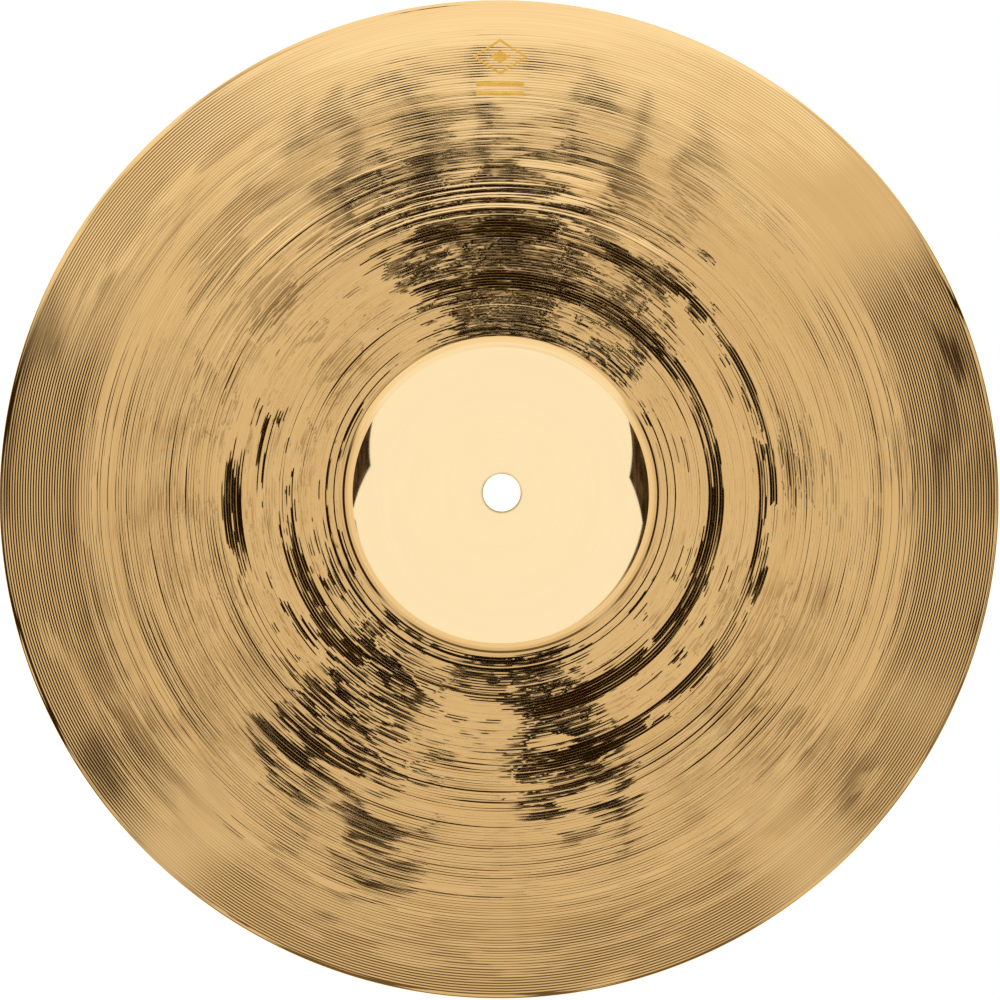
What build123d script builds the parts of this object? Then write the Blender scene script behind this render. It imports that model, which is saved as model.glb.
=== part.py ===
from build123d import *
import os
from math import asin, cos, degrees, radians, sin

# Crash cymbal, 14 inch. Millimetres and degrees. +Z runs up the axis, out of the bell, and +Y points at
# the printed mark. The origin is the centre of the hole, halfway through the wall.

# The plate: one sheet of cast bronze, hammered and turned to a bell, a neck and a bow.
PLATE_RADIUS = 177.8
BELL_WALL = 1.0
RIM_WALL = 0.7
RIM_ROUND = 0.28

# The bell: a spherical crown that a hollow neck joins to the bow.
BELL_FOOT_RADIUS = 57.2
CROWN_END_SLOPE = 39.0
NECK_RADIUS = 9.0

# The bow: one long arc, nearly flat at the bell and steepest at the rim.
BOW_START_SLOPE = 4.5
BOW_RIM_SLOPE = 11.8

# The hole that the stand's rod and sleeve pass through.
HOLE_RADIUS = 6.5
HOLE_EDGE_BREAK = 0.12

# The printed mark: a film of ink on the bow, a plain lozenge over two bars.
INK_FILM = 0.05
LOZENGE_CENTRE = 157.0
LOZENGE_WIDTH = 20.0
LOZENGE_HEIGHT = 13.0
LOZENGE_STROKE = 0.8
CORE_SCALE = 0.36
BAR_LENGTH = 17.0
BAR_WIDTH = 1.5
BAR_CENTRES = (147.0, 143.6)

# Radii that follow from the dimensions above, all on the upper face.
NECK_RUN = NECK_RADIUS * (sin(radians(CROWN_END_SLOPE)) - sin(radians(BOW_START_SLOPE)))
CROWN_RADIUS = (BELL_FOOT_RADIUS - NECK_RUN) / sin(radians(CROWN_END_SLOPE))
BOW_RUN = PLATE_RADIUS - BELL_FOOT_RADIUS
BOW_RADIUS = BOW_RUN / (sin(radians(BOW_RIM_SLOPE)) - sin(radians(BOW_START_SLOPE)))

# Centres of the three arcs. The crown's middle surface passes through the origin's height at the hole.
MIDDLE_RADIUS = CROWN_RADIUS - BELL_WALL / 2
CROWN_CENTRE = (0.0, -MIDDLE_RADIUS * cos(asin(HOLE_RADIUS / MIDDLE_RADIUS)))


def on_arc(centre, radius, slope):
    """The point of a circle about `centre` where a face that falls outwards has this slope."""
    return (centre[0] + radius * sin(radians(slope)), centre[1] + radius * cos(radians(slope)))


NECK_CENTRE = on_arc(CROWN_CENTRE, CROWN_RADIUS + NECK_RADIUS, CROWN_END_SLOPE)
BELL_FOOT = on_arc(NECK_CENTRE, -NECK_RADIUS, BOW_START_SLOPE)
BOW_CENTRE = on_arc(BELL_FOOT, -BOW_RADIUS, BOW_START_SLOPE)
RIM_TOP = on_arc(BOW_CENTRE, BOW_RADIUS, BOW_RIM_SLOPE)
RIM_BOTTOM = (PLATE_RADIUS, RIM_TOP[1] - RIM_WALL / cos(radians(BOW_RIM_SLOPE)))


def face_line(depth, rim_point):
    """Crown, neck and bow of the face that lies `depth` below the upper one, from the hole to the rim."""
    crown_radius = CROWN_RADIUS - depth
    neck_radius = NECK_RADIUS + depth
    hole_slope = degrees(asin(HOLE_RADIUS / crown_radius))
    start = on_arc(CROWN_CENTRE, crown_radius, hole_slope)
    middle = on_arc(CROWN_CENTRE, crown_radius, (hole_slope + CROWN_END_SLOPE) / 2)
    crown_end = on_arc(CROWN_CENTRE, crown_radius, CROWN_END_SLOPE)
    foot = on_arc(NECK_CENTRE, -neck_radius, BOW_START_SLOPE)
    crown = ThreePointArc(start, middle, crown_end)
    neck = TangentArc(crown_end, foot, tangent=crown % 1)
    bow = TangentArc(foot, rim_point, tangent=neck % 1)
    return crown, bow


def cymbal():
    """The bronze plate, turned about the axis from its section."""
    with BuildPart() as plate:
        with BuildSketch(Plane.XZ) as section:
            with BuildLine():
                top_crown, top_bow = face_line(0.0, RIM_TOP)
                under_crown, under_bow = face_line(BELL_WALL, RIM_BOTTOM)
                Line(top_crown @ 0, under_crown @ 0)
                Line(top_bow @ 1, under_bow @ 1)
            make_face()
            corners = section.vertices().group_by(Axis.X)
            chamfer(corners[0], length=HOLE_EDGE_BREAK)
            fillet(section.vertices().group_by(Axis.X)[-1], radius=RIM_ROUND)
        revolve(axis=Axis.Z)
    return plate.part


def ink_film():
    """A thin skin on the bow's upper face, between the radii that the mark spans."""
    inner = degrees(asin((BAR_CENTRES[-1] - 2 * BAR_WIDTH - BOW_CENTRE[0]) / BOW_RADIUS))
    slopes = (inner, (inner + BOW_RIM_SLOPE) / 2, BOW_RIM_SLOPE)
    lower = [on_arc(BOW_CENTRE, BOW_RADIUS, slope) for slope in slopes]
    upper = [on_arc(BOW_CENTRE, BOW_RADIUS + INK_FILM, slope) for slope in slopes]
    with BuildPart() as film:
        with BuildSketch(Plane.XZ):
            with BuildLine():
                ThreePointArc(*lower)
                ThreePointArc(*upper)
                Line(lower[0], upper[0])
                Line(lower[-1], upper[-1])
            make_face()
        revolve(axis=Axis.Z)
    return film.part


def lozenge(scale):
    """The mark's lozenge, its long diagonal across the cymbal."""
    half_width = scale * LOZENGE_WIDTH / 2
    half_height = scale * LOZENGE_HEIGHT / 2
    return Polygon((half_width, 0), (0, half_height), (-half_width, 0), (0, -half_height))


def printed_mark():
    """The ink film, cut to the lozenge's outline, its core and the two bars."""
    outline = lozenge(1.0)
    badge = outline - offset(outline, -LOZENGE_STROKE) + lozenge(CORE_SCALE)
    mark = Pos(0, LOZENGE_CENTRE) * badge
    for centre in BAR_CENTRES:
        mark += Pos(0, centre) * Rectangle(BAR_LENGTH, BAR_WIDTH)
    below = RIM_BOTTOM[1]
    stamp = extrude(Pos(0, 0, below) * mark, amount=-below)
    return ink_film() & stamp


os.makedirs("parts", exist_ok=True)
for node, shape in {"cymbal": cymbal(), "printed_mark": printed_mark()}.items():
    export_step(shape, f"parts/{node}.step")
    box = shape.bounding_box()
    print(f"{node}: {len(shape.solids())} solids, {shape.volume:.1f} mm3, "
          f"z {box.min.Z:.2f} to {box.max.Z:.2f}")
print(f"crown radius {CROWN_RADIUS:.2f}, bow radius {BOW_RADIUS:.1f}, bell foot at z {BELL_FOOT[1]:.2f}")
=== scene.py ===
"""A 14 inch crash cymbal: polished bell, turned bow and printed mark, in a soft studio. Metres, +Z up."""

import math

import bpy
import numpy as np
from mathutils import Matrix, Vector


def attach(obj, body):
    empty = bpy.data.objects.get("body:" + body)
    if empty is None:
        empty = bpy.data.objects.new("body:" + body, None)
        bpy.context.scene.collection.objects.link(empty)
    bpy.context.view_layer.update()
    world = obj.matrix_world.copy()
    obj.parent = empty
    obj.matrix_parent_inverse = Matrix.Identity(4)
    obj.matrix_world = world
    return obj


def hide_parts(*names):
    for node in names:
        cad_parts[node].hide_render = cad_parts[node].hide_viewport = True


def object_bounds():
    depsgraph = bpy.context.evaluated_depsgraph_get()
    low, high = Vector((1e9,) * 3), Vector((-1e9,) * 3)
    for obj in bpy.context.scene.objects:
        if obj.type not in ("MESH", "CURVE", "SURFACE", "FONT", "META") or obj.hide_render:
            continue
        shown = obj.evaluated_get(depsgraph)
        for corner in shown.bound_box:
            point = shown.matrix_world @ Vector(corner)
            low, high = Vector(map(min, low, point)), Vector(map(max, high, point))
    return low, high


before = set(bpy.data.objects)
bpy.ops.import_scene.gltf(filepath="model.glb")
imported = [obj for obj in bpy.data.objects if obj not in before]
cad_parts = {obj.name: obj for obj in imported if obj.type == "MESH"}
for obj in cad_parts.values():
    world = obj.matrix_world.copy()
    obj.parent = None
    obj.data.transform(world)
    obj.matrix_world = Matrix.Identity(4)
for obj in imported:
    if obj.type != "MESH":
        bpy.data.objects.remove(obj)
cad_box = [list(corner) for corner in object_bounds()]

MM = 0.001
RNG = np.random.default_rng(14)

# The plate's section, the same dimensions as the CAD model.
PLATE_RADIUS = 177.8 * MM
BELL_WALL = 1.0 * MM
RIM_WALL = 0.7 * MM
RIM_ROUND = 0.28 * MM
BELL_FOOT_RADIUS = 57.2 * MM
NECK_RADIUS = 9.0 * MM
HOLE_RADIUS = 6.5 * MM
HOLE_EDGE_BREAK = 0.12 * MM
CROWN_END_SLOPE = math.radians(39.0)
BOW_START_SLOPE = math.radians(4.5)
BOW_RIM_SLOPE = math.radians(11.8)

COLUMNS = 720
UNDER_COLUMNS = 360
BELL_COLUMNS = 360


# ---------------------------------------------------------------- section

def on_arc(centre, radius, slope):
    """The point of a circle where a face that falls outwards has this slope."""
    return centre[0] + radius * math.sin(slope), centre[1] + radius * math.cos(slope)


class Face:
    """One face of the plate, `depth` below the upper one: crown, neck and bow as three tangent arcs."""

    def __init__(self, depth, rim_wall):
        neck_run = NECK_RADIUS * (math.sin(CROWN_END_SLOPE) - math.sin(BOW_START_SLOPE))
        crown = (BELL_FOOT_RADIUS - neck_run) / math.sin(CROWN_END_SLOPE)
        bow_run = PLATE_RADIUS - BELL_FOOT_RADIUS
        bow = bow_run / (math.sin(BOW_RIM_SLOPE) - math.sin(BOW_START_SLOPE))
        middle = crown - BELL_WALL / 2
        self.crown_centre = (0.0, -middle * math.cos(math.asin(HOLE_RADIUS / middle)))
        self.neck_centre = on_arc(self.crown_centre, crown + NECK_RADIUS, CROWN_END_SLOPE)
        upper_foot = on_arc(self.neck_centre, -NECK_RADIUS, BOW_START_SLOPE)
        upper_bow_centre = on_arc(upper_foot, -bow, BOW_START_SLOPE)
        upper_rim = on_arc(upper_bow_centre, bow, BOW_RIM_SLOPE)
        self.crown_radius = crown - depth
        self.neck_radius = NECK_RADIUS + depth
        self.crown_end = on_arc(self.crown_centre, self.crown_radius, CROWN_END_SLOPE)
        self.foot = on_arc(self.neck_centre, -self.neck_radius, BOW_START_SLOPE)
        self.rim = (PLATE_RADIUS, upper_rim[1] - rim_wall / math.cos(BOW_RIM_SLOPE))
        across, down = self.rim[0] - self.foot[0], self.foot[1] - self.rim[1]
        turn = math.atan2(down, across) - BOW_START_SLOPE
        self.bow_radius = math.hypot(across, down) / (2 * math.sin(turn))
        self.bow_centre = on_arc(self.foot, -self.bow_radius, BOW_START_SLOPE)

    def height(self, r):
        """The face's height at radius r."""
        def arc(centre, radius):
            return np.sqrt(np.maximum(radius ** 2 - (r - centre[0]) ** 2, 0.0))
        crown = self.crown_centre[1] + arc(self.crown_centre, self.crown_radius)
        neck = self.neck_centre[1] - arc(self.neck_centre, self.neck_radius)
        bow = self.bow_centre[1] + arc(self.bow_centre, self.bow_radius)
        return np.where(r < self.crown_end[0], crown, np.where(r < self.foot[0], neck, bow))


UPPER = Face(0.0, 0.0)
UNDER = Face(BELL_WALL, RIM_WALL)
BELL_EDGE = UPPER.crown_end[0]


# ---------------------------------------------------------------- lathed bodies

class Loops:
    """Loops of points round the axis, from which a closed ring body is made."""

    def __init__(self):
        self.radii, self.heights, self.sharp = [], [], []

    def add(self, radius, height, columns=COLUMNS, sharp=False):
        """One loop: its radius and its height, each as one number or one for each column."""
        self.radii.append(np.broadcast_to(np.asarray(radius, float), (columns,)))
        self.heights.append(np.broadcast_to(np.asarray(height, float), (columns,)))
        self.sharp.append(sharp)

    def body(self, name):
        """The closed mesh object through all loops, the last one joined to the first."""
        counts = [len(h) for h in self.heights]
        first = np.concatenate([[0], np.cumsum(counts)])
        points = []
        for radius, height in zip(self.radii, self.heights):
            turn = np.arange(len(height)) * (2 * math.pi / len(height))
            points.append(np.stack([radius * np.cos(turn), radius * np.sin(turn), height], 1))
        corners, sizes = [], []
        for a in range(len(counts)):
            b = (a + 1) % len(counts)
            n = min(counts[a], counts[b])
            j = np.arange(n)
            k = (j + 1) % n
            if counts[a] == counts[b]:
                face = [first[a] + j, first[b] + j, first[b] + k, first[a] + k]
            elif counts[a] > counts[b]:
                far = first[a] + (2 * j + 2) % counts[a]
                face = [first[a] + 2 * j, first[b] + j, first[b] + k, far, first[a] + 2 * j + 1]
            else:
                far = first[b] + (2 * j + 2) % counts[b]
                face = [first[a] + j, first[b] + 2 * j, first[b] + 2 * j + 1, far, first[a] + k]
            corners.append(np.stack(face, 1).ravel())
            sizes.append(np.full(n, len(face)))
        mesh = mesh_from(name, np.concatenate(points), np.concatenate(corners), np.concatenate(sizes))
        row = np.repeat(np.arange(len(counts)), counts)
        ends = np.empty(len(mesh.edges) * 2, np.int32)
        mesh.edges.foreach_get("vertices", ends)
        ends = row[ends.reshape(-1, 2)]
        crease = (ends[:, 0] == ends[:, 1]) & np.array(self.sharp)[ends[:, 0]]
        mesh.edges.foreach_set("use_edge_sharp", crease)
        return shown(name, mesh)


def mesh_from(name, points, corners, sizes):
    """A smooth mesh from points, a flat list of face corners and each face's corner count."""
    mesh = bpy.data.meshes.new(name)
    mesh.vertices.add(len(points))
    mesh.vertices.foreach_set("co", points.ravel().astype(np.float32))
    mesh.loops.add(len(corners))
    mesh.loops.foreach_set("vertex_index", corners.astype(np.int32))
    mesh.polygons.add(len(sizes))
    starts = np.concatenate([[0], np.cumsum(sizes)[:-1]])
    mesh.polygons.foreach_set("loop_start", starts.astype(np.int32))
    mesh.polygons.foreach_set("use_smooth", np.ones(len(sizes), bool))
    mesh.update(calc_edges=True)
    mesh.validate()
    return mesh


def shown(name, mesh):
    """Puts a mesh into the scene as an object."""
    obj = bpy.data.objects.new(name, mesh)
    bpy.context.scene.collection.objects.link(obj)
    return obj


# ---------------------------------------------------------------- the turned upper face

GROOVE_PITCH = 0.95 * MM
GROOVE_START = BELL_FOOT_RADIUS
GROOVE_END = PLATE_RADIUS - RIM_ROUND - 0.2 * MM
GROOVES = round((GROOVE_END - GROOVE_START) / GROOVE_PITCH)
FACETS = 4  # long facet in two halves, crest flat, return
RETURN_SHARE = 0.035
SHARE_LIMITS = (0.004, 0.6)

# From (radius in mm, value) to the next: the crest flat's share of a groove, how much the cut's angle jumps
# about, how hollow a long facet is in degrees, and how far the even zigzag of the rim has taken over.
CREST_SHARE = ((57, 0.01), (66, 0.05), (91, 0.05), (99, 0.15), (107, 0.15), (140, 0.2), (150, 0.2))
RESTLESS = ((57, 0.25), (62, 0.3), (68, 0.9), (107, 1.0), (122, 0.4), (140, 0.2), (178, 0.13))
HOLLOW = ((57, 0.5), (100, 0.7), (118, 0.35), (178, 0.3))
ZIGZAG = ((118, 0), (132, 0.25), (152, 1))

# How far the zigzag's two sides lean from the bow, and a crest flat that leans outwards, in degrees. Other
# crest flats lean inwards by this multiple of the bow's own slope.
INWARD_LEAN = 2.2
OUTWARD_LEAN = 3.0
CREST_OUTWARD = 6.0
CREST_INWARD = -1.25

# The two nearly level bands: inner and outer radius in mm, and (azimuth, how level) all the way round.
BAND_EDGE = 0.9
INNER_BAND = (73.0, 79.4)
OUTER_BAND = (91.5, 98.6)
INNER_LEVEL = ((0, 1), (105, 1), (125, 0.3), (183, 0.3), (195, 0.8), (225, 0.75), (240, -0.4), (268, -0.4),
               (285, 0.8), (305, 1), (325, 0.8), (345, 1), (360, 1))
OUTER_LEVEL = ((0, 1), (105, 1), (122, 0.5), (165, 0.5), (175, 1), (187, 0.9), (200, 0.4), (222, 0.4),
               (235, -0.3), (265, -0.3), (285, 1), (300, 1), (315, 0.75), (335, 0.75), (350, 1), (360, 1))

# Hammering under the turning, and sharp grooves round the bell's foot: radius, width and depth in mm.
HAMMER_DEPTH = 0.055 * MM
HAMMER_SIZE = 7.0 * MM
FOOT_GROOVES = ((58.3, 0.6, 0.06), (61.2, 0.5, 0.06), (59.8, 0.3, 0.015))


def blurred_noise(rows, row_sigma, column_sigma):
    """Random numbers of unit spread, blurred along the rows (open) and the columns (closed into a ring)."""
    values = RNG.standard_normal((rows, COLUMNS))
    across = np.fft.fftfreq(COLUMNS)[None, :]
    along = np.fft.fftfreq(rows)[:, None]
    gain = np.exp(-2 * math.pi ** 2 * ((row_sigma * along) ** 2 + (column_sigma * across) ** 2))
    values = np.fft.ifft2(np.fft.fft2(values) * gain).real
    return values / values.std()


def ramp(place, points):
    """A value that follows straight lines through (place, value) points."""
    return np.interp(place, [p[0] for p in points], [p[1] for p in points])


def band(radius, inner, outer):
    """1 between two radii, 0 outside, over a soft edge, all in mm."""
    rise = np.clip((radius - inner) / BAND_EDGE + 0.5, 0, 1)
    return rise * np.clip((outer - radius) / BAND_EDGE + 0.5, 0, 1)


def arc_bump(turn, centre, width):
    """A smooth bump round an azimuth, 1 at its centre, in degrees."""
    return np.exp(-(((turn - centre + 180) % 360 - 180) / width) ** 2)


def turned_face():
    """Radii and heights of the upper face's rows, as cut groove by groove, with hammering under them."""
    start = np.linspace(GROOVE_START, GROOVE_END, GROOVES + 1)
    pitch = start[1] - start[0]
    middle = ((start[1:] + start[:-1]) / 2)[:, None]
    slope = np.degrees(np.arcsin((middle - UPPER.bow_centre[0]) / UPPER.bow_radius))

    mm = middle / MM
    turn = np.arange(COLUMNS) * (360 / COLUMNS)

    # How wide the crest flats are: almost none beside the bell, uneven from ring to ring elsewhere.
    uneven = 0.8 * RNG.standard_normal((GROOVES, 1)) + 0.45 * blurred_noise(GROOVES, 0.0, 8.0)
    uneven += 0.6 * blurred_noise(GROOVES, 5.0, 16.0)
    calm = 1 - 0.5 * (arc_bump(turn, 15, 40) + arc_bump(turn, 208, 22) * (mm > 104))
    share = np.clip(ramp(mm, CREST_SHARE) * np.exp(uneven - 0.3) * calm, *SHARE_LIMITS)

    # No two rings are cut at quite the same angle; over the inner bow the angle jumps about.
    jumps = np.tanh(4.0 * blurred_noise(GROOVES, 0.0, 4.0))
    blocks = np.tanh(4.0 * blurred_noise(GROOVES, 1.6, 5.0))
    sweeps = blurred_noise(GROOVES, 4.0, 12.0)
    restless = ramp(mm, RESTLESS) * (1 - 0.75 * arc_bump(turn, 262, 16) * (mm < 96))
    cut = restless * (1.0 * jumps + 1.5 * blocks + 0.9 * sweeps + 0.6 * RNG.standard_normal((GROOVES, 1)))

    # The level bands come in broken runs, with gaps on the right-hand side.
    flats = band(mm, *INNER_BAND) * ramp(turn, INNER_LEVEL) + band(mm, *OUTER_BAND) * ramp(turn, OUTER_LEVEL)
    flats = flats * (1 - 0.9 * (blocks > 0.5) * (sweeps > 0.8) * (np.cos(np.radians(turn)) > 0))
    runs = 1.17 + 0.26 * np.tanh(2.5 * blurred_noise(GROOVES, 0.0, 5.0))
    runs = runs + 0.1 * RNG.standard_normal((GROOVES, 1))
    cut = cut * (1 - 0.7 * flats) - 0.84 * slope * flats * np.clip(runs, 0, 1.2)
    narrow = np.clip(0.08 * np.exp(uneven), SHARE_LIMITS[0], 0.2)
    share = np.clip(share * (1 - flats) + narrow * flats, *SHARE_LIMITS)

    # Towards the rim the cut turns from long facets with a crest flat into an even zigzag.
    zigzag = ramp(mm, ZIGZAG)
    long_share = (1 - share - RETURN_SHARE) / 2
    shares = [long_share, long_share, share, np.full_like(share, RETURN_SHARE)]
    shares = [x * (1 - zigzag) + zigzag / FACETS for x in shares]
    hollow = ramp(mm, HOLLOW)
    crest = np.where(RNG.random((GROOVES, 1)) < 0.5, CREST_INWARD * slope, CREST_OUTWARD)
    tilts = [
        (cut - hollow) * (1 - zigzag) + (cut - INWARD_LEAN) * zigzag,
        (cut + hollow) * (1 - zigzag) + (cut - INWARD_LEAN + 0.4) * zigzag,
        (crest * (1 - flats) + 0.5 * flats) * (1 - zigzag) + (cut + OUTWARD_LEAN - 0.6) * zigzag,
    ]
    falls = [np.tan(np.radians(t)) * q * pitch for t, q in zip(tilts, shares)]

    radii, heights = [], []
    place, drop = start[:-1, None] * np.ones((1, COLUMNS)), np.zeros((GROOVES, COLUMNS))
    for q, fall in zip(shares, falls + [None]):
        radii.append(place)
        heights.append(-drop)
        if fall is not None:
            place, drop = place + q * pitch, drop + fall
    radii = np.stack(radii, 1).reshape(-1, COLUMNS)
    heights = np.stack(heights, 1).reshape(-1, COLUMNS)
    radii = np.concatenate([radii, np.full((1, COLUMNS), GROOVE_END)])
    heights = np.concatenate([heights, np.zeros((1, COLUMNS))])

    heights += HAMMER_DEPTH * blurred_noise(len(radii), HAMMER_SIZE / (pitch / FACETS), 9.0)
    for centre, width, depth in FOOT_GROOVES:
        heights -= depth * MM * np.exp(-0.5 * ((radii / MM - centre) / (width / 2.0)) ** 2)

    # The cut runs out at the bell's foot and at the rim.
    settle = np.clip((radii - GROOVE_START) / (1.5 * MM), 0, 1)
    settle = settle * np.clip((GROOVE_END - radii) / (1.0 * MM), 0, 1)
    return radii, UPPER.height(radii) + heights * settle


row_radii, row_heights = turned_face()


def face_height_at(x, y):
    """The turned face's height at points, between its rows and columns."""
    r = np.hypot(x, y)
    column = np.arctan2(y, x) / (2 * math.pi) * COLUMNS
    first = np.floor(column).astype(int)
    share = column - first
    height = np.zeros_like(r)
    for j in np.unique(first):
        here = first == j
        a, b = j % COLUMNS, (j + 1) % COLUMNS
        near = np.interp(r[here], row_radii[:, a], row_heights[:, a])
        far = np.interp(r[here], row_radii[:, b], row_heights[:, b])
        height[here] = near * (1 - share[here]) + far * share[here]
    return height


# ---------------------------------------------------------------- pieces

def make_bell():
    """The polished bell from its hole to the end of the crown."""
    loops = Loops()
    top = HOLE_RADIUS + HOLE_EDGE_BREAK
    for r in np.linspace(top, BELL_EDGE, 130):
        loops.add(r, UPPER.height(r), BELL_COLUMNS, sharp=r in (top, BELL_EDGE))
    for r in np.linspace(UNDER.crown_end[0], top, 60):
        loops.add(r, UNDER.height(r), BELL_COLUMNS, sharp=r in (top, UNDER.crown_end[0]))
    loops.add(HOLE_RADIUS, UNDER.height(top) + HOLE_EDGE_BREAK, BELL_COLUMNS, sharp=True)
    loops.add(HOLE_RADIUS, UPPER.height(top) - HOLE_EDGE_BREAK, BELL_COLUMNS, sharp=True)
    return loops.body("cymbal_bell")


def make_bow():
    """Neck, turned bow, rounded rim and the coarser-turned underside."""
    loops = Loops()
    for r in np.linspace(BELL_EDGE, GROOVE_START, 16)[:-1]:
        loops.add(r, UPPER.height(r), sharp=r == BELL_EDGE)
    for radii, heights in zip(row_radii, row_heights):
        loops.add(radii, heights, sharp=True)

    corner = PLATE_RADIUS - RIM_ROUND
    fall = RIM_ROUND / math.cos(BOW_RIM_SLOPE)
    above = UPPER.height(corner) - fall
    below = UNDER.height(corner) + fall
    for angle in np.linspace(BOW_RIM_SLOPE, math.pi / 2, 6):
        loops.add(corner + RIM_ROUND * math.sin(angle), above + RIM_ROUND * math.cos(angle))
    for angle in np.linspace(math.pi / 2, math.pi + BOW_RIM_SLOPE, 6):
        loops.add(corner + RIM_ROUND * math.sin(angle), below + RIM_ROUND * math.cos(angle))

    # The underside is turned more coarsely.
    pitch = 1.9 * MM
    depth = 0.03 * MM
    start, end = PLATE_RADIUS - 1.0 * MM, UNDER.foot[0]
    count = round((start - end) / pitch)
    for k, r in enumerate(np.linspace(start, end, count * 4 + 1)):
        dip = depth * math.sin(math.pi * (k % 4) / 4)
        loops.add(r, UNDER.height(r) + dip, UNDER_COLUMNS)
    for r in np.linspace(end, UNDER.crown_end[0], 10)[1:]:
        loops.add(r, UNDER.height(r), UNDER_COLUMNS, sharp=r == UNDER.crown_end[0])
    return loops.body("cymbal_bow")


INK_THICK = 0.06 * MM
MARK_CENTRE = 157.0 * MM
LOZENGE_WIDTH = 20.0 * MM
LOZENGE_HEIGHT = 13.0 * MM
LOZENGE_STROKE = 0.8 * MM
CORE_SCALE = 0.36
BAR_LENGTH = 17.0 * MM
BAR_WIDTH = 1.5 * MM
BAR_CENTRES = (147.0 * MM, 143.6 * MM)
INK_CELL = 0.12 * MM


def ink_patch(corners):
    """A thin closed film over a four-sided patch of the bow, its corners in order."""
    a, b, c, d = [np.array(p, float) for p in corners]
    across = max(2, round(np.linalg.norm(b - a) / INK_CELL))
    down = max(2, round(np.linalg.norm(d - a) / INK_CELL))
    u, v = np.meshgrid(np.linspace(0, 1, across + 1), np.linspace(0, 1, down + 1))
    u, v = u[..., None], v[..., None]
    flat = (a * (1 - u) + b * u) * (1 - v) + (d * (1 - u) + c * u) * v
    base = face_height_at(flat[..., 0], flat[..., 1])
    over = np.concatenate([flat, (base + INK_THICK)[..., None]], 2).reshape(-1, 3)
    sunk = np.concatenate([flat, (base - INK_THICK)[..., None]], 2).reshape(-1, 3)
    index = np.arange((across + 1) * (down + 1)).reshape(down + 1, across + 1)
    quads = np.stack([index[:-1, :-1], index[:-1, 1:], index[1:, 1:], index[1:, :-1]], 2).reshape(-1, 4)
    border = np.concatenate([index[0, :], index[1:, -1], index[-1, -2::-1], index[-2:0:-1, 0]])
    following = np.roll(border, -1)
    n = len(over)
    walls = np.stack([border, border + n, following + n, following], 1)
    return np.concatenate([over, sunk]), np.concatenate([quads, quads[:, ::-1] + n, walls])


def diamond(scale):
    """The lozenge's four corners, counter-clockwise from the lowest one."""
    w, h = LOZENGE_WIDTH / 2 * scale, LOZENGE_HEIGHT / 2 * scale
    return [(0, MARK_CENTRE - h), (w, MARK_CENTRE), (0, MARK_CENTRE + h), (-w, MARK_CENTRE)]


def make_mark():
    """The printed mark: a lozenge ring with a solid core, over two bars."""
    half = math.hypot(LOZENGE_WIDTH, LOZENGE_HEIGHT)
    inner_scale = 1 - 2 * LOZENGE_STROKE * half / (LOZENGE_WIDTH * LOZENGE_HEIGHT)
    outer, inner = diamond(1.0), diamond(inner_scale)
    patches = [[outer[i], outer[(i + 1) % 4], inner[(i + 1) % 4], inner[i]] for i in range(4)]
    patches.append(diamond(CORE_SCALE))
    for y in BAR_CENTRES:
        x0, x1, y0, y1 = -BAR_LENGTH / 2, BAR_LENGTH / 2, y - BAR_WIDTH / 2, y + BAR_WIDTH / 2
        patches.append([(x0, y0), (x1, y0), (x1, y1), (x0, y1)])
    points, faces, count = [], [], 0
    for patch in patches:
        p, f = ink_patch(patch)
        points.append(p)
        faces.append(f + count)
        count += len(p)
    faces = np.concatenate(faces)
    mesh = mesh_from("printed_mark_ink", np.concatenate(points), faces.ravel(), np.full(len(faces), 4))
    return shown("printed_mark_ink", mesh)


# ---------------------------------------------------------------- node helpers

class Nodes:
    """Short calls for building one node tree."""

    def __init__(self, tree):
        self.tree = tree
        tree.nodes.clear()

    def add(self, kind, **settings):
        """A new node."""
        node = self.tree.nodes.new(kind)
        for key, value in settings.items():
            setattr(node, key, value)
        return node

    def put(self, socket, value):
        """Links an output, or sets a plain value."""
        if isinstance(value, bpy.types.NodeSocket):
            self.tree.links.new(value, socket)
        elif value is not None:
            socket.default_value = value

    def math(self, operation, a, b=None, c=None):
        """A sum, product or other result of up to three numbers."""
        node = self.add("ShaderNodeMath", operation=operation)
        for socket, value in zip(node.inputs, (a, b, c)):
            self.put(socket, value)
        return node.outputs[0]

    def vector(self, operation, a, b=None):
        """The result of one or two vectors."""
        node = self.add("ShaderNodeVectorMath", operation=operation)
        for socket, value in zip(node.inputs, (a, b)):
            self.put(socket, value)
        return node.outputs["Value" if operation == "LENGTH" else "Vector"]

    def step(self, value, low, high, to_low=0.0, to_high=1.0):
        """A smooth step from to_low to to_high while value goes from low to high."""
        node = self.add("ShaderNodeMapRange", interpolation_type="SMOOTHSTEP")
        for socket, v in zip(node.inputs, (value, low, high, to_low, to_high)):
            self.put(socket, v)
        return node.outputs[0]

    def mix(self, factor, a, b):
        """A colour mix."""
        node = self.add("ShaderNodeMix", data_type="RGBA")
        self.put(node.inputs["Factor"], factor)
        self.put(node.inputs[6], a)
        self.put(node.inputs[7], b)
        return node.outputs[2]

    def noise(self, vector, scale, detail, roughness):
        """Noise from 0 to 1."""
        node = self.add("ShaderNodeTexNoise")
        self.put(node.inputs["Vector"], vector)
        self.put(node.inputs["Scale"], scale)
        self.put(node.inputs["Detail"], detail)
        self.put(node.inputs["Roughness"], roughness)
        return node.outputs["Fac"]

    def combine(self, x, y, z):
        """A vector from three numbers."""
        node = self.add("ShaderNodeCombineXYZ")
        for socket, value in zip(node.inputs, (x, y, z)):
            self.put(socket, value)
        return node.outputs[0]


def material(name):
    """A new node material and its tree."""
    made = bpy.data.materials.new(name)
    made.use_nodes = True
    return made, Nodes(made.node_tree)


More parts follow.
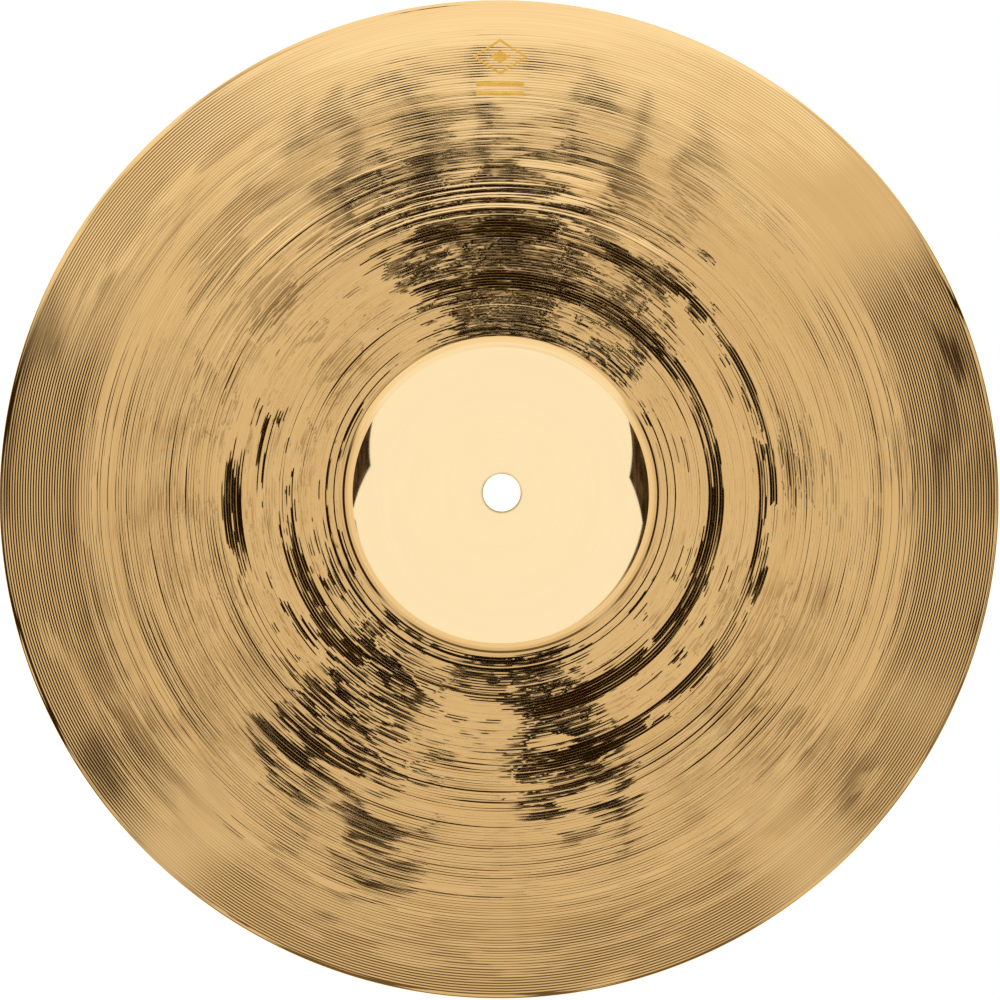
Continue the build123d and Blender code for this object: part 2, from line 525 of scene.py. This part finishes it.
def ring_coordinates(n, along, across):
    """Coordinates stretched along the turning direction: `along` waves once round, `across` per metre."""
    place = n.add("ShaderNodeTexCoord").outputs["Object"]
    parts = n.add("ShaderNodeSeparateXYZ")
    n.put(parts.inputs[0], place)
    flat = n.combine(parts.outputs[0], parts.outputs[1], 0.0)
    radius = n.vector("LENGTH", flat)
    around = n.vector("NORMALIZE", flat)
    wide = n.add("ShaderNodeVectorMath", operation="SCALE")
    n.put(wide.inputs[0], around)
    n.put(wide.inputs["Scale"], along)
    lift = n.combine(0.0, 0.0, n.math("MULTIPLY", radius, across))
    return n.vector("ADD", wide.outputs[0], lift), radius, place


BRONZE = (0.93, 0.665, 0.335, 1)
BRONZE_DEEP = (0.83, 0.54, 0.235, 1)
# Worn bronze darkened further by painted shade, laid round the hole's edge.
BRONZE_WORN_SHADED = (0.42, 0.25, 0.09, 1)
AMBER = (0.85, 0.47, 0.07, 1)
AMBER_BRIGHT = (1.0, 0.62, 0.13, 1)


def bronze(name, roughness, roughness_spread, tone, scratch):
    """Bright cast bronze, with turning lines, faint tone bands, handling haze, and wear with painted shade
    round the hole's edge.
    """
    made, n = material(name)
    lines, radius, place = ring_coordinates(n, 1.3, 1 / (0.55 * MM))
    fine, _, _ = ring_coordinates(n, 3.0, 1 / (0.16 * MM))
    broad, _, _ = ring_coordinates(n, 0.9, 1 / (6.0 * MM))
    line_noise = n.noise(lines, 1.0, 3.0, 0.6)
    fine_noise = n.noise(fine, 1.0, 2.0, 0.6)
    broad_noise = n.noise(broad, 1.0, 2.0, 0.5)
    haze = n.noise(place, 28.0, 4.0, 0.6)

    shader = n.add("ShaderNodeBsdfPrincipled")
    shader.inputs["Metallic"].default_value = 1.0
    bands = n.step(n.math("MULTIPLY_ADD", broad_noise, 0.5, line_noise), 0.55, 1.0)
    metal = n.mix(n.math("MULTIPLY", bands, tone), BRONZE, BRONZE_DEEP)
    # Round the hole's edge the colour darkens to brown: partly wear, partly painted shade of the edge's
    # bevel, patchy with the haze.
    near_hole = n.step(radius, HOLE_RADIUS + 1.1 * MM, HOLE_RADIUS + 0.1 * MM)
    worn_and_shaded = n.math("MULTIPLY", near_hole, n.step(haze, 0.25, 0.6))
    n.put(shader.inputs["Base Color"], n.mix(worn_and_shaded, metal, BRONZE_WORN_SHADED))
    rough = n.math("MULTIPLY_ADD", n.step(haze, 0.35, 0.75), roughness_spread, roughness)
    rough = n.math("MULTIPLY_ADD", n.math("SUBTRACT", fine_noise, 0.5), roughness_spread, rough)
    n.put(shader.inputs["Roughness"], rough)
    bump = n.add("ShaderNodeBump")
    bump.inputs["Strength"].default_value = 1.0
    bump.inputs["Distance"].default_value = scratch
    n.put(bump.inputs["Height"], n.math("ADD", line_noise, n.math("MULTIPLY", fine_noise, 0.35)))
    n.put(shader.inputs["Normal"], bump.outputs[0])
    out = n.add("ShaderNodeOutputMaterial")
    n.put(out.inputs["Surface"], shader.outputs[0])
    return made


def amber_ink():
    """Glossy amber screen-print ink."""
    made, n = material("amber_ink")
    place = n.add("ShaderNodeTexCoord").outputs["Object"]
    grain = n.noise(place, 2600.0, 3.0, 0.6)
    wide = n.noise(place, 260.0, 3.0, 0.5)
    shader = n.add("ShaderNodeBsdfPrincipled")
    shade = n.math("MULTIPLY_ADD", grain, 0.5, n.math("MULTIPLY", wide, 0.5))
    n.put(shader.inputs["Base Color"], n.mix(n.step(shade, 0.3, 0.7), AMBER, AMBER_BRIGHT))
    shader.inputs["Metallic"].default_value = 0.7
    n.put(shader.inputs["Roughness"], n.math("MULTIPLY_ADD", grain, 0.2, 0.2))
    bump = n.add("ShaderNodeBump")
    bump.inputs["Strength"].default_value = 1.0
    bump.inputs["Distance"].default_value = 0.008 * MM
    n.put(bump.inputs["Height"], grain)
    n.put(shader.inputs["Normal"], bump.outputs[0])
    out = n.add("ShaderNodeOutputMaterial")
    n.put(out.inputs["Surface"], shader.outputs[0])
    return made


# ---------------------------------------------------------------- studio

DOME_RADIUS = 4.0

# What the bow mirrors, as the light's own colour.
CEILING = (0.765, 0.69, 0.575)
GREY_SHAPE = (0.25, 0.19, 0.12)
DARK_SIDE = (0.03, 0.016, 0.006)
DIM_FRONT = (0.16, 0.12, 0.075)
CORNER_STRIP = (0.8, 0.76, 0.7)
BACK_CORNER = (1.07, 1.02, 0.9)
SMALL_STAND = (0.03, 0.02, 0.01)
BANK = (1.07, 1.05, 1.01)
BANK_FIGURE = (0.1, 0.075, 0.045)
GEAR = (0.012, 0.007, 0.002)
HIGH_WALL = (0.95, 0.88, 0.76)
HIGH_BANK = (1.065, 1.12, 1.2)
HORIZON = (0.62, 0.56, 0.47)

# Small dark stands at the sides: centre and half size in degrees, across and along.
STANDS = ((25.0, 6.0, 0.9, 5.0), (-23.2, 12.2, 0.9, 2.8), (20.5, -13.2, 1.2, 1.6), (-21.0, -12.5, 1.1, 1.8))

# The camera and the gear overhead, the same way.
CREW = ((2.5, 11.0, 4.3, 8.5), (0.0, 20.0, 7.6, 5.5), (10.3, 13.2, 3.0, 2.7))
RIGGING = ((-9.3, -12.0, 4.0, 4.2), (5.6, -13.7, 3.4, 3.0), (-6.2, -17.0, 2.6, 1.4), (1.5, -9.6, 4.6, 1.9))
CAMERA_HEAD = (0.0, 0.0, 8.2, 8.2)

# What the bell mirrors.
BELL_BANK = (1.065, 1.17, 1.36)
BELL_DARK = (0.03, 0.018, 0.008)
BELL_STREAK = (0.12, 0.09, 0.06)
BELL_BEYOND = (0.62, 0.55, 0.46)
BELL_HORIZON = (0.85, 0.84, 0.82)


class Studio:
    """One glowing dome's node tree. Its places are angles from straight up and azimuths, in degrees."""

    def __init__(self, name):
        self.material, n = material(name)
        self.material.cycles.emission_sampling = "NONE"
        self.n = n
        place = n.vector("NORMALIZE", n.add("ShaderNodeTexCoord").outputs["Object"])
        parts = n.add("ShaderNodeSeparateXYZ")
        n.put(parts.inputs[0], place)
        x, y, z = parts.outputs
        self.polar = n.math("MULTIPLY", n.math("ARCCOSINE", z), 180 / math.pi)
        self.azimuth = n.math("ARCTAN2", y, x)
        self.north = n.math("SINE", self.azimuth)
        self.u = n.math("MULTIPLY", self.polar, n.math("COSINE", self.azimuth))
        self.v = n.math("MULTIPLY", self.polar, self.north)

    def off(self, centre):
        """The azimuth's distance from `centre`, from -180 to 180 degrees."""
        n = self.n
        turned = n.math("SUBTRACT", self.azimuth, math.radians(centre))
        within = n.math("ARCTAN2", n.math("SINE", turned), n.math("COSINE", turned))
        return n.math("MULTIPLY", within, 180 / math.pi)

    def around(self, centre, half, soft):
        """1 near an azimuth, falling to 0 at its half width."""
        return self.n.step(self.n.math("ABSOLUTE", self.off(centre)), half + soft, half - soft)

    def plane_noise(self, along_u, along_v, detail=3.0, roughness=0.6):
        """Noise over the dome laid flat, with its own scale each way."""
        n = self.n
        flat = n.combine(n.math("MULTIPLY", self.u, along_u), n.math("MULTIPLY", self.v, along_v), 0.0)
        return n.noise(flat, 1.0, detail, roughness)

    def distance(self, centre_u, centre_v, half_u=1.0, half_v=1.0):
        """How far from a point of the flat dome, in units of half_u across and half_v along."""
        n = self.n
        across = n.math("DIVIDE", n.math("SUBTRACT", self.u, centre_u), half_u)
        along = n.math("DIVIDE", n.math("SUBTRACT", self.v, centre_v), half_v)
        return n.math("SQRT", n.math("ADD", n.math("POWER", across, 2.0), n.math("POWER", along, 2.0)))

    def finish(self, colour, film):
        """Ends the tree in this colour of light; a film lets other light through as well."""
        n = self.n
        glow = n.add("ShaderNodeEmission")
        n.put(glow.inputs["Color"], colour)
        surface = glow.outputs[0]
        if film:
            both = n.add("ShaderNodeAddShader")
            n.put(both.inputs[0], surface)
            n.put(both.inputs[1], n.add("ShaderNodeBsdfTransparent").outputs[0])
            surface = both.outputs[0]
        n.put(n.add("ShaderNodeOutputMaterial").inputs["Surface"], surface)
        return self.material


def bow_studio():
    """The studio as the bow sees it: dark overhead, a mid-tone ceiling, a bright bank behind, dim sides."""
    d = Studio("bow_studio_light")
    n = d.n
    wander = n.math("MULTIPLY", n.math("SUBTRACT", d.plane_noise(0.16, 0.16), 0.5), 2.0)
    reach = n.math("ADD", d.polar, wander)
    colour = (*CEILING, 1)

    def both(*amounts):
        """The product of these amounts."""
        product = amounts[0]
        for amount in amounts[1:]:
            product = n.math("MULTIPLY", product, amount)
        return product

    def nearest(*values):
        """The least of these values."""
        least = values[0]
        for value in values[1:]:
            least = n.math("MINIMUM", least, value)
        return least

    def paint(amount, tone):
        """Lays a tone over the colour so far."""
        return n.mix(amount, colour, (*tone, 1))

    # Faint grey shapes between the overhead gear and the sides.
    shelf = both(n.step(d.polar, 14.5, 16.5), n.step(d.polar, 22.2, 20.0))
    sides = n.math("MAXIMUM", d.around(332, 22, 8), d.around(140, 24, 8))
    grey = both(n.math("MAXIMUM", d.around(196, 26, 8), sides), shelf)
    grey = both(grey, n.step(d.plane_noise(0.35, 0.25), 0.44, 0.58))
    blotch = both(n.step(d.plane_noise(0.3, 0.22), 0.58, 0.68), shelf)
    colour = paint(both(n.math("MAXIMUM", grey, both(blotch, 0.6)), 0.6), GREY_SHAPE)

    # Dark sides and a dim front, down to where the high walls start.
    inside = n.step(d.polar, 40.0, 37.5)
    right = both(d.around(7, 27, 5), n.step(reach, 27.9, 29.7))
    left = both(d.around(187, 38, 9), n.step(reach, 26.0, 29.0))
    colour = paint(both(n.math("MAXIMUM", right, left), inside), DARK_SIDE)
    colour = paint(both(d.around(283, 58, 10), n.step(reach, 27.0, 29.5), inside), DIM_FRONT)

    # The back left corner: a dim edge with brighter wall beyond it. Then a bright strip at each front corner.
    corner = both(d.around(136, 18, 8), 0.75)
    colour = paint(both(corner, n.step(reach, 24.0, 25.2), n.step(reach, 30.5, 28.5)), DIM_FRONT)
    colour = paint(both(corner, n.step(reach, 30.5, 32.5)), BACK_CORNER)
    for centre in (225, 315):
        colour = paint(both(d.around(centre, 6, 5), n.step(reach, 25.0, 30.0), 0.7), CORNER_STRIP)
    for stand in STANDS:
        colour = paint(both(n.step(d.distance(*stand), 1.3, 0.6), 0.6), SMALL_STAND)

    # The bright bank at the back, with dim figures standing up before it.
    turned = d.off(90)
    bank = both(n.step(turned, -56.0, -46.0), n.step(turned, 62.0, 30.0), n.step(d.v, 25.3, 28.2))
    colour = paint(bank, BANK)
    figures = n.math("MULTIPLY_ADD", d.v, -0.02, d.plane_noise(0.65, 0.08, 1.5))
    tall = both(n.step(d.v, 17.0, 20.0), n.step(d.v, 25.6, 24.2))
    wide = n.step(n.math("ABSOLUTE", n.math("SUBTRACT", d.u, 1.2)), 12.2, 10.8)
    colour = paint(both(n.step(figures, 0.065, 0.085), tall, wide, 0.8), BANK_FIGURE)

    # The camera and the gear overhead, with ragged edges, and gaps in what stands behind.
    ragged = both(n.math("SUBTRACT", d.plane_noise(0.6, 0.22), 0.5), 1.1)
    gaps = both(n.step(d.plane_noise(0.7, 0.9), 0.55, 0.59), n.step(d.v, -11.0, -6.0, 0.0, 1.3))
    dark = nearest(*(d.distance(*shape) for shape in CREW + RIGGING))
    dark = n.math("ADD", dark, n.math("ADD", ragged, gaps))
    dark = nearest(dark, d.distance(*CAMERA_HEAD))
    colour = paint(n.step(dark, 1.02, 0.98), GEAR)

    # The walls above the sides, brightest behind, down to a dimmer horizon.
    high = n.mix(d.around(90, 55, 10), (*HIGH_WALL, 1), (*HIGH_BANK, 1))
    high = n.mix(n.step(d.polar, 76.0, 87.0), high, (*HORIZON, 1))
    colour = n.mix(n.step(d.polar, 46.0, 60.0), colour, high)
    return d.finish(colour, film=True)


def bell_studio():
    """The studio as the bell sees it: one bright bank in two round lobes, with dark gaps where they meet."""
    d = Studio("bell_studio_light")
    n = d.n
    back_lobe = n.math("SUBTRACT", d.distance(1.0, 30.0), 69.2)
    front_lobe = n.math("SUBTRACT", d.distance(-1.6, -26.7), 79.6)
    lobes = n.math("MINIMUM", back_lobe, front_lobe)
    rise = n.math("MULTIPLY", n.step(d.north, -0.15, 0.35), 30.0)
    front = n.math("SUBTRACT", n.math("SUBTRACT", d.polar, 77.4), rise)
    depth = n.math("MAXIMUM", lobes, front)
    gaps = n.math("MAXIMUM", d.around(8, 38, 8), d.around(166, 26, 8))
    streak = n.step(d.plane_noise(0.5, 0.05), 0.4, 0.7)
    dark = n.mix(streak, (*BELL_DARK, 1), (*BELL_STREAK, 1))
    beyond = n.mix(gaps, (*BELL_BEYOND, 1), dark)
    colour = n.mix(n.step(depth, -0.35, 0.35), (*BELL_BANK, 1), beyond)
    colour = n.mix(n.step(d.polar, 83.0, 87.0), colour, (*BELL_HORIZON, 1))
    return d.finish(colour, film=False)


def dome(name, radius, glow):
    """A studio dome over the whole set."""
    rings, columns = 48, 96
    angle = np.radians(np.linspace(0.5, 90, rings))
    around = np.arange(columns) * (2 * math.pi / columns)
    a, b = np.meshgrid(angle, around, indexing="ij")
    points = np.stack([np.sin(a) * np.cos(b), np.sin(a) * np.sin(b), np.cos(a)], 2).reshape(-1, 3) * radius
    points = np.concatenate([points, [[0, 0, radius]]])
    index = np.arange(rings * columns).reshape(rings, columns)
    following = np.roll(index, -1, axis=1)
    quads = np.stack([index[:-1], following[:-1], following[1:], index[1:]], 2).reshape(-1, 4)
    top = np.stack([index[0], following[0], np.full(columns, len(points) - 1)], 1)
    corners = np.concatenate([quads.ravel(), top.ravel()])
    sizes = np.concatenate([np.full(len(quads), 4), np.full(columns, 3)])
    obj = shown(name, mesh_from(name, points, corners, sizes))
    obj.data.materials.append(glow)
    obj.location.z = floor_height
    obj.visible_camera = False
    obj.visible_shadow = False
    return obj


def only(name, obj, receivers, blockers=None):
    """Lets a light or a glowing mesh light only these objects."""
    group = bpy.data.collections.new(name)
    for receiver in receivers:
        group.objects.link(receiver)
    obj.light_linking.receiver_collection = group
    if blockers is not None:
        stops = bpy.data.collections.new(name + "_blockers")
        for blocker in blockers:
            stops.objects.link(blocker)
        obj.light_linking.blocker_collection = stops


# ---------------------------------------------------------------- assembly

bell = make_bell()
bow = make_bow()
mark = make_mark()

bell.data.materials.append(bronze("bronze_polished", 0.03, 0.03, 0.1, 0.0003 * MM))
bow.data.materials.append(bronze("bronze_turned", 0.04, 0.02, 0.6, 0.0009 * MM))
mark.data.materials.append(amber_ink())

for piece in (bell, bow):
    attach(piece, "root")
    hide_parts("cymbal")
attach(mark, "root")
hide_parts("printed_mark")

floor_height = cad_box[0][2] - 0.02 * MM
FLOOR_SIZE = 30.0
half_floor = FLOOR_SIZE / 2
floor_points = np.array([(-1, -1, 0), (1, -1, 0), (1, 1, 0), (-1, 1, 0)], float) * half_floor
floor = shown("floor", mesh_from("floor", floor_points, np.arange(4), np.array([4])))
floor.location.z = floor_height
floor_paper, n = material("floor_paper")
paper = n.add("ShaderNodeBsdfPrincipled")
tooth = n.noise(n.add("ShaderNodeTexCoord").outputs["Object"], 220.0, 3.0, 0.6)
n.put(paper.inputs["Base Color"], n.mix(tooth, (0.9, 0.9, 0.895, 1), (0.92, 0.92, 0.915, 1)))
paper.inputs["Roughness"].default_value = 0.9
paper.inputs["Specular IOR Level"].default_value = 0.0
n.put(n.add("ShaderNodeOutputMaterial").inputs["Surface"], paper.outputs[0])
floor.data.materials.append(floor_paper)

only("bow_lights", dome("bow_studio", DOME_RADIUS, bow_studio()), [bow, mark])
only("bell_lights", dome("bell_studio", DOME_RADIUS * 1.1, bell_studio()), [bell])

floor_light = bpy.data.lights.new("floor_light", "SUN")
floor_light.energy = 3.7
floor_light.angle = math.radians(60)
floor_lamp = bpy.data.objects.new("floor_light", floor_light)
bpy.context.scene.collection.objects.link(floor_lamp)
only("floor_lights", floor_lamp, [floor], [floor])

world = bpy.data.worlds.new("studio_world")
bpy.context.scene.world = world
world.use_nodes = True
world_nodes = Nodes(world.node_tree)
sky = world_nodes.add("ShaderNodeBackground")
sky.inputs["Color"].default_value = (1.0, 1.0, 1.0, 1.0)
sky.inputs["Strength"].default_value = 1.0
world_nodes.put(world_nodes.add("ShaderNodeOutputWorld").inputs["Surface"], sky.outputs[0])
for ray in ("diffuse", "glossy", "transmission", "scatter"):
    setattr(world.cycles_visibility, ray, False)

bpy.context.scene.view_settings.view_transform = "Standard"

# ---------------------------------------------------------------- camera

CAMERA_PLACE = Vector((-0.03465, -0.08835, 1.97983))
CAMERA_TARGET = Vector((-0.00028, -0.00174, -0.018))
LENS_MM = 204.32

camera_data = bpy.data.cameras.new("camera")
camera_data.sensor_width = 36.0
camera_data.lens = LENS_MM
camera_data.clip_start = 0.05
camera_data.clip_end = 60.0
camera = bpy.data.objects.new("camera", camera_data)
bpy.context.scene.collection.objects.link(camera)
back = (CAMERA_PLACE - CAMERA_TARGET).normalized()
right = Vector((0, 1, 0)).cross(back).normalized()
above = back.cross(right)
camera.matrix_world = Matrix.Translation(CAMERA_PLACE) @ Matrix((right, above, back)).transposed().to_4x4()
bpy.context.scene.camera = camera

bpy.context.view_layer.update()
